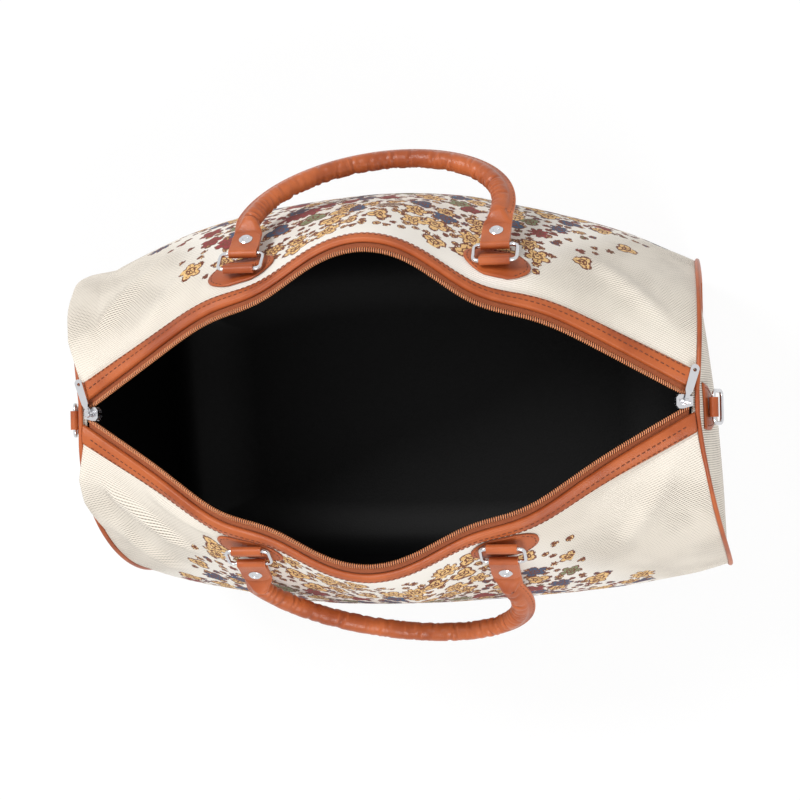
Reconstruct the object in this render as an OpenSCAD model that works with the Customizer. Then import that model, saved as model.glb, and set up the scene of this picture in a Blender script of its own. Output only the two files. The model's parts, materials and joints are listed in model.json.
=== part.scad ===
// Soft tapestry travel bag standing open: two printed panels and a base sewn between two piped ends,
// a two-slider coil zip along the rim, a lining, and rolled leather handles hung on wire rings.
// Millimetres. X runs along the bag, +Y is the back, +Z is up, and the origin is the middle of the base.

/* [Body] */
// Length of the zip opening, end to end
zip_length = 442; // [400:1:480]
// Length of the body between its end seams at belly height
body_length = 461; // [430:1:500]
// Length of the base
base_length = 442; // [410:1:470]
// Width of an end panel at its belly
end_width = 224; // [200:1:250]
// Width of the open bag across its middle at belly height
belly_width = 320; // [290:1:340]
// Width of the base at its ends
base_end_width = 196; // [180:1:210]
// Width of the base at its middle
base_mid_width = 224; // [205:1:240]
// Height of the end panels
end_height = 258; // [240:1:275]
// Height of the rim at the middle of the opening
rim_height = 286; // [270:1:300]
// Width of the opening between the panel edges at its middle
opening_width = 240; // [200:1:250]
// How far the end panels bulge out
end_bulge = 5; // [3:0.5:14]
// Thickness of the tapestry panels
panel_t = 2; // [1.2:0.1:3]
// Thickness of the lining cloth
lining_t = 0.8; // [0.5:0.1:1.5]
// Thickness of the base stiffener board
board_t = 2; // [1:0.1:4]
// Diameter of the piping cord
piping_d = 3.4; // [2:0.1:5]

/* [Slump] */
// Plan skew of the belly at the left end, sideways run per unit of width
left_skew = 0.14; // [0:0.01:0.16]
// Plan skew of the belly at the right end, sideways run per unit of width
right_skew = 0.09; // [0:0.01:0.16]
// How far the middle of the belly bows to the back
bow = 8; // [0:0.5:12]
// Sideways place of the widest point of the opening
apex_shift = -9; // [-14:0.5:0]
// How much further the left end of the zip reaches out
left_reach = 5; // [0:0.5:8]

/* [Zip] */
// Width of the leather trim at the ends of the rim
trim_w = 12; // [9:0.5:16]
// Width of the leather trim at the middle of the rim
trim_mid = 6; // [5:0.5:9]
// Thickness of the leather trim
trim_t = 1.4; // [0.8:0.1:2]
// Width of the zip tape that shows inside the trim
tape_w = 5; // [4:0.5:8]
// Thickness of the zip tape
tape_t = 0.8; // [0.5:0.1:1.2]
// Diameter of the zip coil
coil_d = 3.2; // [2:0.1:4]
// Length of a slider
slider_l = 12; // [11:0.5:16]
// Length of a pull
pull_l = 27; // [20:0.5:36]

/* [Rings and tabs] */
// Half the distance between the two tabs of a handle
tab_x = 92; // [75:1:105]
// Distance of a tab below the rim, along the panel
tab_drop = 12.5; // [12.5:0.5:30]
// Width of a tab patch
patch_w = 48; // [40:1:60]
// Height of a tab patch
patch_h = 38; // [30:1:50]
// Thickness of the tab and handle leather
leather_t = 1.6; // [1:0.1:2]
// Width of a tab loop
loop_w = 22; // [16:0.5:24]
// Outside width of a wire ring
ring_w = 34; // [32:0.5:40]
// Outside height of a wire ring
ring_h = 20; // [18:0.5:26]
// Wire diameter of a ring
wire_d = 2.8; // [2:0.1:3.5]
// Distance of a shoulder strap ring below the zip end
strap_drop = 13; // [12:0.5:30]
// Width of a shoulder strap loop
strap_loop_w = 14; // [8:0.5:14]
// Outside width of a shoulder strap ring
strap_ring_w = 26; // [26:0.5:34]

/* [Handles] */
// Width of a flattened handle end
strap_w = 21; // [14:0.5:22]
// Diameter of the rolled grip
grip_d = 14; // [10:0.1:18]
// How far the sewn ridge stands out of the grip
ridge = 3.8; // [2:0.1:6]
// Thickness of the sewn ridge
ridge_t = 2.6; // [1.6:0.1:4]
// Length of a handle leg before the arch starts
leg = 36; // [34:0.5:50]
// Height of the handle arch
arch_h = 70; // [64:1:110]
// How far the hanging front handle stands off its tabs, in degrees
front_lift = 0; // [0:0.5:12]
// How far the hanging back handle stands off its tabs, in degrees
back_lift = 5; // [2:0.5:14]
// Sideways sway of the front handle's arch
front_sway = 34; // [0:1:40]
// Sideways sway of the back handle's arch
back_sway = 14; // [0:1:40]
// Diameter of a rivet cap
rivet_d = 10; // [8:0.1:12]

/* [Hidden] */
$fn = 48;
// gap between sewn layers, and between a ring and the loop that holds it
seam_gap = 0.3;
// gap between a wall and what is sewn on its outside
sewn_gap = 0.6;
// roundness of the rim's plan outline, and power of the belly's fall towards the ends
rim_round = 0.26;
belly_power = 2.27;
// heights of the section's inner control points, as shares of the wall's height
low_control = [0.28, 0.2];
high_control = [1, 0.56];
// elevation of the zip tape at the middle of the rim
tape_rise = 30;
// spread of the flat that a stiff tab makes in the cloth, along and up the panel, and its depth
flat_run = 28;
flat_rise = 0.12;
flat_depth = 5;

leather = [0.76, 0.36, 0.18];
cloth = [0.92, 0.88, 0.8];
metal = [0.8, 0.8, 0.82];

wire_r = wire_d / 2;
ring_pitch = ring_h - wire_d;
ring_corner = 4;
loop_in = wire_r + seam_gap;
loop_out = loop_in + leather_t;
coil_r = coil_d / 2;
piping_r = piping_d / 2;
grip_r = grip_d / 2;
zip_half = tape_w + coil_d + 1;
floor_z = panel_t + seam_gap + board_t + seam_gap;

// Body surface: v climbs a side wall from the base edge to the rim, u runs along the bag from -1 to 1,
// and side is -1 for the front wall and 1 for the back wall.
function mix(a, b, t) = a + (b - a) * t;
function unit(p) = p / norm(p);
function cubic(a, b, c, d, t) =
    a * pow(1 - t, 3) + 3 * b * t * pow(1 - t, 2) + 3 * c * t * t * (1 - t) + d * pow(t, 3);
function rim_blend(u) =
    let (top = norm([1, rim_round])) (top - norm([u, rim_round])) / (top - rim_round);
function belly_blend(u) = 1 - pow(min(1, abs(u)), belly_power);
function hump(v) = 4 * v * (1 - v);

// half length of the body at height share v, through the base, the belly and the zip end
function half_length(v) =
    let (belly_control = body_length - (base_length + zip_length) / 4)
    base_length / 2 * pow(1 - v, 2) + 2 * belly_control * v * (1 - v) + zip_length / 2 * v * v;

tab_v = 1 - tab_drop / 390;
tab_w = tab_x / half_length(tab_v);
// place along the bag measured from the widest point, and the place u of a tab
function lean(u) = u - 2 * apex_shift / zip_length * (1 - u * u);
function tab_at(end) = end * tab_w + 2 * apex_shift / zip_length * (1 - tab_w * tab_w);

// local flattening of the wall round each stiff tab
function tab_flat(w, v) =
    let (d = (abs(w) - tab_w) * half_length(v) / flat_run, e = (v - tab_v) / flat_rise)
    flat_depth * d * exp((1 - d * d - e * e) / 2);

function half_width(w, v) =
    let (g = belly_blend(w),
         base = mix(base_end_width, base_mid_width, g) / 2,
         belly = mix(end_width, belly_width, g) / 2,
         rim = mix(zip_half, opening_width / 2, rim_blend(w)),
         control = (8 * belly - base - rim) / 6)
    cubic(base, control, control, rim, v) + tab_flat(w, v);

function wall_height(w, v) =
    let (g = belly_blend(w), top = mix(end_height, rim_height, g),
         low = mix(low_control[0], low_control[1], g), high = mix(high_control[0], high_control[1], g))
    cubic(0, top * low, top * high, top, v);

function wall(side, u, v) =
    let (w = lean(u), y = side * half_width(w, v) + bow * (1 - 2 * w * w) * hump(v),
         skew = u < 0 ? left_skew : right_skew, reach = u < 0 ? left_reach * pow(u * v, 2) : 0)
    [half_length(v) * u - reach - skew * y * hump(v) * abs(u), y, wall_height(w, v)];

step = 0.004;
function wall_up(side, u, v) = unit(wall(side, u, v + step) - wall(side, u, v - step));
function wall_along(side, u, v) = unit(wall(side, u + step, v) - wall(side, u - step, v));
function wall_out(side, u, v) = side * unit(cross(wall_up(side, u, v), wall_along(side, u, v)));

// point at distance off outside the wall, and the height share that lies run below the rim
function off_wall(side, u, v, off) = wall(side, u, v) + off * wall_out(side, u, v);
function below_rim(side, u, run) = 1 - run * 0.05 / norm(wall(side, u, 1) - wall(side, u, 0.95));

// End panel surface: q runs across from the front seam to the back seam.
function end_wall(end, q, v, inset, back) =
    let (front_seam = off_wall(-1, end, v, -inset), back_seam = off_wall(1, end, v, -inset),
         p = mix(front_seam, back_seam, (q + 1) / 2))
    [p[0] + end * (end_bulge * (1 - q * q) * hump(v) - back), p[1], max(p[2], 0)];

// direction in which the zip tape leaves the rim
function tape_dir(side, u) = let (rise = tape_rise * belly_blend(u)) [0, -side * cos(rise), sin(rise)];
function tape_root(side, u) = off_wall(side, u, 1, -panel_t) + 0.6 * wall_up(side, u, 1);
function coil_at(side, u) = tape_root(side, u) + tape_w * tape_dir(side, u);

function spread(n, low = -1, high = 1) = [for (i = [0:n]) mix(low, high, i / n)];

// closed slab between two equal grids of points
module slab(outer, inner) {
    rows = len(outer);
    cols = len(outer[0]);
    size = rows * cols;
    function at(i, j) = i * cols + j;
    skin = [for (i = [0:rows - 2], j = [0:cols - 2]) each
        [[at(i, j), at(i, j + 1), at(i + 1, j + 1)],
         [at(i, j), at(i + 1, j + 1), at(i + 1, j)]]];
    edge = concat([for (j = [0:cols - 1]) at(0, j)], [for (i = [1:rows - 1]) at(i, cols - 1)],
        [for (j = [cols - 2:-1:0]) at(rows - 1, j)], [for (i = [rows - 2:-1:1]) at(i, 0)]);
    back = [for (f = skin) [f[2] + size, f[1] + size, f[0] + size]];
    rim = [for (k = [0:len(edge) - 1])
        let (a = edge[k], b = edge[(k + 1) % len(edge)]) each [[b, a, a + size], [b, a + size, b + size]]];
    polyhedron(concat([for (r = outer) each r], [for (r = inner) each r]), concat(skin, back, rim));
}

// slab with its faces in the order that the side of the bag calls for
module two_faced(side, inner, outer) {
    if (side > 0) slab(inner, outer);
    else slab(outer, inner);
}

function middle(ring) = [for (p = ring) 1] * ring / len(ring);

// solid swept through a list of rings, closed into a loop or capped at both ends by fans
module sweep(rings, closed = false) {
    n = len(rings);
    m = len(rings[0]);
    last = closed ? n - 1 : n - 2;
    skin = [for (i = [0:last], j = [0:m - 1])
        let (a = i * m, b = (i + 1) % n * m, k = (j + 1) % m)
        each [[a + j, a + k, b + k], [a + j, b + k, b + j]]];
    fan = function(first, hub) [for (j = [0:m - 1]) [first + j, first + (j + 1) % m, hub]];
    caps = closed ? [] : concat([for (f = fan(0, n * m)) [f[1], f[0], f[2]]], fan((n - 1) * m, n * m + 1));
    hubs = closed ? [] : [middle(rings[0]), middle(rings[n - 1])];
    polyhedron(concat([for (r = rings) each r], hubs), concat(skin, caps));
}

// round ring of points about a centre, in the plane of two unit vectors
function circle_ring(centre, a, b, r, count) =
    [for (i = [0:count - 1]) centre + r * (cos(360 * i / count) * a + sin(360 * i / count) * b)];

// Sewn body.
module wall_panel(side) {
    us = spread(28);
    vs = spread(10, 0, 1);
    grid = function(off) [for (u = us) [for (v = vs) off_wall(side, u, v, off)]];
    color(cloth) two_faced(side, grid(-panel_t), grid(0));
}

module end_panel(end) {
    inset = panel_t + seam_gap;
    vs = spread(10, 0, 1);
    grid = function(back) [for (q = spread(8)) [for (v = vs) end_wall(end, q, v, inset, back)]];
    color(cloth) two_faced(end, grid(panel_t), grid(0));
}

module base_panel() {
    inset = panel_t * 1.6 + seam_gap;
    edge = function(side) [for (u = spread(12))
        let (p = wall(side, u * 0.985, 0)) [p[0], p[1] - side * inset]];
    back = edge(1);
    color(cloth) linear_extrude(panel_t)
        polygon(concat(edge(-1), [for (i = [len(back) - 1:-1:0]) back[i]]));
}

module base_board() {
    l = base_length - 34;
    w = base_end_width - 24;
    r = 12;
    color("dimgray") translate([0, 0, panel_t + seam_gap]) linear_extrude(board_t) union() {
        square([l - 2 * r, w], center = true);
        square([l, w - 2 * r], center = true);
        for (x = [-1, 1], y = [-1, 1]) translate([x * (l / 2 - r), y * (w / 2 - r)]) circle(r);
    }
}

// inner bag: loops round the walls and ends at each height, closed by a floor
module lining() {
    clear = panel_t + 2.5;
    vs = concat(spread(8, 0.1, 0.9), [0.95]);
    function loop_at(v, depth) =
        let (u_end = 1 - (depth + 1) / half_length(v), us = spread(14, -u_end, u_end),
             qs = [-0.7, -0.35, 0, 0.35, 0.7],
             across = function(end) [for (q = qs) end_wall(end, -end * q, v, depth, depth)])
        concat([for (u = us) off_wall(1, u, v, -depth)], across(1),
            [for (u = us) off_wall(-1, -u, v, -depth)], across(-1));
    function floor_loop(depth) =
        [for (p = loop_at(vs[0], depth)) [p[0] * 0.94, p[1] * 0.86, floor_z + depth - clear]];
    skin = function(depth) concat([floor_loop(depth)], [for (v = vs) loop_at(v, depth)]);
    outer = skin(clear);
    inner = skin(clear + lining_t);
    color([0.03, 0.03, 0.035]) sweep(concat(outer, [for (i = [len(inner) - 1:-1:0]) inner[i]]));
}

module piping(end) {
    function seam_ring(side, v) =
        let (p = wall(side, end, v), lift = max(p[2], piping_r + 0.1),
             up = unit(wall(side, end, v + step) - wall(side, end, max(v - step, 0))))
        circle_ring([p[0] + end * (piping_r + seam_gap), p[1], lift],
            [1, 0, 0], unit(cross([1, 0, 0], side * up)), piping_r, 6);
    function base_ring(y) =
        circle_ring([wall(1, end, 0)[0] + end * (piping_r + seam_gap), y, piping_r + 0.1],
            [1, 0, 0], [0, 0, 1], piping_r, 6);
    base_ys = spread(4, -base_end_width / 2 + 12, base_end_width / 2 - 12);
    climb = [for (v = spread(14, 0.02, 1)) seam_ring(1, v)];
    fall = [for (v = spread(14, 1, 0.02)) seam_ring(-1, v)];
    color(leather) sweep(concat([for (y = base_ys) base_ring(y)], climb, fall), closed = true);
}

// share of the zip length that the tape and coil reach, clear of the end panels
zip_end = 1 - 2 * (panel_t + 1.3) / zip_length;

// trim folded over the rim, from its lower edge to the inside of the panel
module zip_trim(side) {
    us = spread(28);
    function row(u, off, over) =
        let (v = below_rim(side, u, mix(trim_w, trim_mid, rim_blend(u))),
             out = wall_out(side, u, 1), top = wall(side, u, 1) + (seam_gap + over) * wall_up(side, u, 1))
        [off_wall(side, u, v, off), off_wall(side, u, (v + 1) / 2, off),
            top + off * out, top - panel_t * out];
    inner = [for (u = us) row(u, sewn_gap, 0)];
    outer = [for (u = us) row(u, sewn_gap + trim_t, trim_t)];
    color(leather) two_faced(side, inner, outer);
}

module zip_tape(side) {
    us = [for (u = spread(28)) max(-zip_end, min(zip_end, u))];
    layer = function(depth) [for (u = us)
        let (out = wall_out(side, u, 1), root = tape_root(side, u) - (seam_gap + 0.2 + depth) * out,
             drop = [0, 0, -depth - 0.2])
        [root - 1.6 * wall_up(side, u, 1), root, coil_at(side, u) + drop]];
    color(leather) two_faced(side, layer(tape_t), layer(0));
}

module zip_coil(side) {
    rings = [for (u = spread(40, -zip_end, zip_end))
        let (lean = tape_dir(side, u),
             along = unit(coil_at(side, u + step) - coil_at(side, u - step)))
        circle_ring(coil_at(side, u) + (coil_r + 0.1) * lean, lean, unit(cross(along, lean)), coil_r, 6)];
    color([0.8, 0.42, 0.22]) sweep(rings);
}

// Zip sliders: two plates round the coils, joined by a wedge, with a bridge that carries the pull.
slider_gap = coil_r + 0.35;
plate_t = 1.2;
bridge_r = 0.9;
bridge_z = slider_gap + plate_t + 2.8;
bridge_l = 7;
pull_turn = 18;
pull_dip = 3;
slider_u = 1 - 2 * (slider_l / 2 + 0.9) / zip_length;

function slider_at(end) = (coil_at(-1, end * slider_u) + coil_at(1, end * slider_u)) / 2;
function slider_pitch(end) =
    let (run = coil_at(1, end * (slider_u + step)) - coil_at(1, end * (slider_u - step)))
    atan2(-run[2], abs(run[0]));

module on_slider(end) {
    translate(slider_at(end)) rotate([0, 0, end > 0 ? 0 : 180]) rotate([0, slider_pitch(end), 0]) children();
}

module slider(end) {
    half = slider_l / 2;
    edge = [[-half, 2.8], [-half + 2, 5], [-1, 5], [half, 3.2]];
    plan = concat(edge, [for (i = [3:-1:0]) [edge[i][0], -edge[i][1]]]);
    color(metal) on_slider(end) {
        for (z = [-slider_gap - plate_t, slider_gap]) translate([0, 0, z])
            linear_extrude(plate_t) polygon(plan);
        translate([0, 0, -slider_gap - 0.1]) linear_extrude(2 * slider_gap + 0.2)
            polygon([[-half, -0.7], [-half + 2.5, -1.4], [-half + 5, 0], [-half + 2.5, 1.4], [-half, 0.7]]);
        rotate([0, 0, -end * pull_turn]) {
            translate([-bridge_l / 2, 0, bridge_z]) rotate([0, 90, 0]) cylinder(r = bridge_r, h = bridge_l);
            for (x = [-1, 1]) translate([x * (bridge_l / 2 - bridge_r), 0, slider_gap + plate_t - 0.1])
                cylinder(r = bridge_r, h = bridge_z - slider_gap - plate_t + 0.1);
        }
    }
}

// pull lever, its eye round the bridge
module pull(end) {
    eye_r = bridge_r + 0.3;
    color(metal) on_slider(end) rotate([0, 0, -end * pull_turn]) translate([0, 0, bridge_z])
        rotate([-end * pull_dip, 0, end > 0 ? 0 : 180]) difference() {
            union() {
                rotate([0, 90, 0]) cylinder(r = eye_r + 1.1, h = 2.4, center = true);
                translate([-1.2, 0, -0.8]) cube([2.4, 6, 1.6]);
                translate([0, 0, -0.8]) linear_extrude(1.6) union() {
                    polygon([[-1.2, 4], [-2.8, 8], [-3.2, pull_l - 3.2],
                        [3.2, pull_l - 3.2], [2.8, 8], [1.2, 4]]);
                    translate([0, pull_l - 3.2]) circle(3.2);
                }
            }
            rotate([0, 90, 0]) cylinder(r = eye_r, h = 4, center = true);
            translate([0, pull_l - 4, -2]) cylinder(r = 1.3, h = 4);
        }
}

// Tabs: a patch sewn on the wall and a strap folded round a ring's bar. A placed piece has its own X along
// the bar, its own Y up the wall and its own Z out of the wall.
tail_l = 9;
patch_top = loop_out;
tab_clear = 0.5;
tab_run = norm(wall(1, tab_at(1), tab_v + step) - wall(1, tab_at(1), tab_v - step)) / (2 * step);

function tab_lift(side) = side < 0 ? front_lift : back_lift;
function tab_tilt(side) =
    let (n = wall_out(side, tab_at(1), tab_v) + wall_out(side, tab_at(-1), tab_v))
    atan2(n[2], abs(n[1]));
function out_dir(side, tilt) = [0, side * cos(tilt), sin(tilt)];
// height of a patch's outside over the tab's own plane, at x along the bar and y up the wall
function patch_rise(side, end, x, y) =
    let (v = tab_v + y / tab_run, u = tab_at(end) + x / half_length(v),
         p = off_wall(side, u, v, sewn_gap + leather_t) - wall(side, tab_at(end), tab_v))
    p * out_dir(side, tab_tilt(side));
// height of the bar, so that the loop's tail and the hanging ring both clear the patch
function loop_z(side) = max([for (end = [-1, 1], k = [-1:0.5:1], y = [0:0.25:1]) each
    [patch_rise(side, end, k * loop_w / 2, -y * tail_l) + loop_out,
     patch_rise(side, end, k * min(ring_w, patch_w) / 2, -y * ring_h) + wire_r
         - y * ring_h * sin(tab_lift(side))]]) + tab_clear;
function loop_axis(side, end) =
    let (n = tab_tilt(side), a = wall(side, tab_at(-1), tab_v), b = wall(side, tab_at(1), tab_v))
    [(end < 0 ? a : b)[0], (a[1] + b[1]) / 2, (a[2] + b[2]) / 2] + loop_z(side) * out_dir(side, n);
function hang_tilt(side) = tab_tilt(side) + tab_lift(side);
function grip_axis(side) =
    let (t = hang_tilt(side), a = (loop_axis(side, -1) + loop_axis(side, 1)) / 2)
    a + ring_pitch * [0, side * sin(t), -cos(t)];

module facing(side, tilt) {
    rotate([0, 0, side > 0 ? 180 : 0]) rotate([90 - tilt, 0, 0]) children();
}

module tab_patch(side, end) {
    grid = function(off) [for (k = spread(6, 0, 1))
        let (v = tab_v + (patch_top - patch_h * k) / tab_run,
             half = patch_w / 2 * (0.5 + 0.5 * (1 - pow(abs(2 * k - 1), 1.6))))
        [for (x = spread(4, -half, half)) off_wall(side, tab_at(end) + x / half_length(v), v, off)]];
    color(leather) two_faced(-side, grid(sewn_gap), grid(sewn_gap + leather_t));
}

module strap_loop(width) {
    color(leather) difference() {
        union() {
            rotate([0, 90, 0]) cylinder(r = loop_out, h = width, center = true);
            translate([-width / 2, -tail_l, -loop_out]) cube([width, tail_l, 1.5 * leather_t]);
        }
        rotate([0, 90, 0]) cylinder(r = loop_in, h = width + 2, center = true);
    }
}

module tab_loop(side, end) {
    translate(loop_axis(side, end)) facing(side, tab_tilt(side)) strap_loop(loop_w);
}

// rectangular wire ring with its near bar on the X axis, hanging along -Y
module wire_ring(width) {
    half = (width - wire_d) / 2;
    color(metal) union() {
        for (y = [0, -ring_pitch]) translate([0, y, 0]) rotate([0, 90, 0])
            cylinder(r = wire_r, h = 2 * (half - ring_corner), center = true);
        for (x = [-half, half]) translate([x, -ring_pitch / 2, 0]) rotate([90, 0, 0])
            cylinder(r = wire_r, h = ring_pitch - 2 * ring_corner, center = true);
        for (k = [0:3]) translate([(k == 0 || k == 3 ? 1 : -1) * (half - ring_corner),
                (k < 2 ? 0 : -ring_pitch) + (k < 2 ? -1 : 1) * ring_corner, 0])
            rotate([0, 0, 90 * k]) rotate_extrude(angle = 90)
            translate([ring_corner, 0]) circle(wire_r);
    }
}

module handle_ring(side, end) {
    translate(loop_axis(side, end)) facing(side, hang_tilt(side)) wire_ring(ring_w);
}

// Handles: one strip of leather folded round both rings, its middle rolled into a grip. A station is
// a centre, an inward unit vector, a thickness unit vector, a roll share and a width share.
function profile(roll, width) =
    let (half = strap_w / 2 * width, thin = leather_t / 2)
    [for (j = [0:11])
        let (a = 50 + (j - 2) * 260 / 7,
             flat = j == 0 ? [half, thin / 2] : j == 11 ? [half, -thin / 2]
                 : j == 1 ? [half * 0.95, thin] : j == 10 ? [half * 0.95, -thin]
                 : [half * cos(a), thin * sign(sin(a)) * min(1, 3 * abs(sin(a)))],
             round = j == 0 ? [grip_r + ridge, ridge_t / 2] : j == 11 ? [grip_r + ridge, -ridge_t / 2]
                 : j == 1 ? [grip_r * 0.93, ridge_t * 0.75] : j == 10 ? [grip_r * 0.93, -ridge_t * 0.75]
                 : grip_r * [cos(a), sin(a)])
        mix(flat, round, roll)];
function station(s) = [for (p = profile(s[3], s[4])) s[0] - p[0] * s[1] + p[1] * s[2]];

module handle(side) {
    fold = loop_in + leather_t / 2;
    layer = leather_t / 2 + 0.1;
    // stations of one end, from the flap's tip to the start of the roll
    function end_stations(end) =
        let (x = end * tab_x, in = [-end, 0, 0],
             at = function(run, off) [x, -run, off])
        concat([for (k = [[23, 0.3], [20, 0.8], [17, 1], [9, 1]]) [at(k[0], layer), in, [0, 0, 1], 0, k[1]]],
            [for (a = spread(6, 90, 270)) [at(fold * cos(a), fold * sin(a)), in, [0, -cos(a), sin(a)], 0, 1]],
            [[at(9, -layer), in, [0, 0, -1], 0, 1], [at(22, -layer), in, [0, 0, -1], 0, 1],
                [at(26, -layer * 0.7), in, [0, 0, -1], 0.35, 1],
                [at(leg - 5, -layer * 0.3), in, [0, 0, -1], 0.75, 1]]);
    // both arches sway to the right, which is the back handle's own left
    sway = side > 0 ? -back_sway : front_sway;
    arch = [for (a = spread(18, 0, 180))
        let (run = unit([tab_x * sin(a) + sway * cos(a), arch_h * cos(a)]))
        [[-tab_x * cos(a) + sway * sin(a), -leg - arch_h * sin(a), 0],
            [run[1], run[0], 0], [0, 0, -1], 1, 1]];
    right = end_stations(1);
    stations = concat(end_stations(-1), arch, [for (i = [len(right) - 1:-1:0]) right[i]]);
    color(leather) translate(grip_axis(side)) facing(side, hang_tilt(side))
        sweep([for (s = stations) station(s)]);
}

module rivet(side, end) {
    half = leather_t + 0.1;
    r = rivet_d / 2;
    under = [[0, -half - 1], [r - 0.8, -half - 1], [r, -half - 0.4], [r, -half], [2, -half]];
    cap = [[2, half], [r, half], [r, half + 0.5], [r - 1, half + 1.2], [2.4, half + 1.2],
        [1.8, half + 0.5], [0, half + 0.5]];
    color(metal) translate(grip_axis(side)) facing(side, hang_tilt(side))
        translate([-side * end * tab_x, -14, 0]) rotate_extrude() polygon(concat(under, cap));
}

// Shoulder strap rings on the end panels.
end_loop_z = sewn_gap + leather_t + seam_gap + loop_out;
end_table = [for (v = spread(60, 0, 1)) [wall_height(1, v), v]];
strap_v = lookup(end_height - strap_drop, end_table);
function end_face(end, v, off) =
    let (p = end_wall(end, 0, v, panel_t + seam_gap, 0), t = end_tilt(end))
    p + off * [end * cos(t), 0, sin(t)];
function end_tilt(end) =
    let (run = end_wall(end, 0, strap_v + step, 0, 0) - end_wall(end, 0, strap_v - step, 0, 0))
    atan2(-end * run[0], run[2]);

module on_end(end, tilt) {
    translate(end_face(end, strap_v, end_loop_z)) rotate([0, 0, end * 90])
        rotate([90 - tilt, 0, 0]) children();
}

module end_tab(end) {
    half_w = 16;
    drop = 28;
    inset = panel_t + seam_gap;
    grid = function(off) [for (k = spread(6, 0, 0.96))
        let (v = lookup(end_height - strap_drop + 6 - drop * k, end_table),
             half = half_w * sqrt(1 - pow(k, 2.6)),
             seam = abs(wall(1, end, v)[1] - wall(-1, end, v)[1]) / 2 - inset)
        [for (y = spread(4, -half, half)) end_wall(end, y / seam, v, inset, 0) + [end * off, 0, 0]]];
    color(leather) two_faced(end, grid(0.2), grid(0.2 + leather_t));
}

module end_loop(end) {
    on_end(end, end_tilt(end)) strap_loop(strap_loop_w);
}

module strap_ring(end) {
    on_end(end, end_tilt(end) + 3) wire_ring(strap_ring_w);
}

wall_panel(-1);  // front_panel
wall_panel(1);  // back_panel
base_panel();
end_panel(-1);  // left_end_panel
end_panel(1);  // right_end_panel
lining();
base_board();
piping(-1);  // left_piping
piping(1);  // right_piping
zip_trim(-1);  // front_zip_trim
zip_trim(1);  // back_zip_trim
zip_tape(-1);  // front_zip_tape
zip_tape(1);  // back_zip_tape
zip_coil(-1);  // front_zip_coil
zip_coil(1);  // back_zip_coil
slider(-1);  // left_slider
slider(1);  // right_slider
pull(-1);  // left_pull
pull(1);  // right_pull
tab_patch(-1, -1);  // front_left_patch
tab_patch(-1, 1);  // front_right_patch
tab_patch(1, -1);  // back_left_patch
tab_patch(1, 1);  // back_right_patch
tab_loop(-1, -1);  // front_left_loop
tab_loop(-1, 1);  // front_right_loop
tab_loop(1, -1);  // back_left_loop
tab_loop(1, 1);  // back_right_loop
handle_ring(-1, -1);  // front_left_ring
handle_ring(-1, 1);  // front_right_ring
handle_ring(1, -1);  // back_left_ring
handle_ring(1, 1);  // back_right_ring
handle(-1);  // front_handle
handle(1);  // back_handle
rivet(-1, -1);  // front_left_rivet
rivet(-1, 1);  // front_right_rivet
rivet(1, -1);  // back_left_rivet
rivet(1, 1);  // back_right_rivet
end_tab(-1);  // left_end_tab
end_tab(1);  // right_end_tab
end_loop(-1);  // left_end_loop
end_loop(1);  // right_end_loop
strap_ring(-1);  // left_strap_ring
strap_ring(1);  // right_strap_ring
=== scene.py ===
import json
import math

import bpy
import numpy as np
from mathutils import Matrix, Vector


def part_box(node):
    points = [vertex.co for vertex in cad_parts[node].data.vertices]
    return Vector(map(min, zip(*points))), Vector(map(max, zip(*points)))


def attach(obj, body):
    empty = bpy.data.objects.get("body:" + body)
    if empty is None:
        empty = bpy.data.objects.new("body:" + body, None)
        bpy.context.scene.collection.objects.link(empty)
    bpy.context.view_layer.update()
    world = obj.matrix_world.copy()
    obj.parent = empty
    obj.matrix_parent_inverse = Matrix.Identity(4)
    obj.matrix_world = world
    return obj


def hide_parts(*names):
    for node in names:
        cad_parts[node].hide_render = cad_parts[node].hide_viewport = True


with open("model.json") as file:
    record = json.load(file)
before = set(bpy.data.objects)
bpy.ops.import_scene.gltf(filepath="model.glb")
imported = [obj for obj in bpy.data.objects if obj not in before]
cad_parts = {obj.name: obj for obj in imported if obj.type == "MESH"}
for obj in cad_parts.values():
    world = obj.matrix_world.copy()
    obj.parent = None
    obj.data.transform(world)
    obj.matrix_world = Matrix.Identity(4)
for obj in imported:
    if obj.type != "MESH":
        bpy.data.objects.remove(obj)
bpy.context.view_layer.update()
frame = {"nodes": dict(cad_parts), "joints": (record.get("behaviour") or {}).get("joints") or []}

# Sizes in millimetres, as in the part's source
ZIP_LENGTH, BODY_LENGTH, BASE_LENGTH = 442.0, 461.0, 442.0
END_WIDTH, BELLY_WIDTH = 224.0, 320.0
BASE_END_WIDTH, BASE_MID_WIDTH = 196.0, 224.0
END_HEIGHT, RIM_HEIGHT, OPENING_WIDTH, END_BULGE = 258.0, 286.0, 240.0, 5.0
PANEL_T, LINING_T, BOARD_T, PIPING_R = 2.0, 0.8, 2.0, 1.7
LEFT_SKEW, RIGHT_SKEW, BOW, APEX_SHIFT, LEFT_REACH = 0.14, 0.09, 8.0, -9.0, 5.0
TRIM_W, TRIM_MID, TRIM_T, TAPE_W, TAPE_T, COIL_D = 12.0, 6.0, 1.4, 5.0, 0.8, 3.2
TAB_X, TAB_DROP, PATCH_W, PATCH_H, LEATHER_T = 92.0, 12.5, 48.0, 38.0, 1.6
WIRE_D, STRAP_DROP = 2.8, 13.0
STRAP_W, GRIP_D, RIDGE, RIDGE_T, LEG, ARCH_H = 21.0, 14.0, 3.8, 2.6, 36.0, 70.0
FRONT_SWAY, BACK_SWAY = 34.0, 14.0
SEAM_GAP, SEWN_GAP = 0.3, 0.6
RIM_ROUND, BELLY_POWER, TAPE_RISE = 0.26, 2.27, 30.0
LOW_CONTROL, HIGH_CONTROL = (0.28, 0.2), (1.0, 0.56)
FLAT_RUN, FLAT_RISE, FLAT_DEPTH = 28.0, 0.12, 5.0
WIRE_R = WIRE_D / 2
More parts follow.
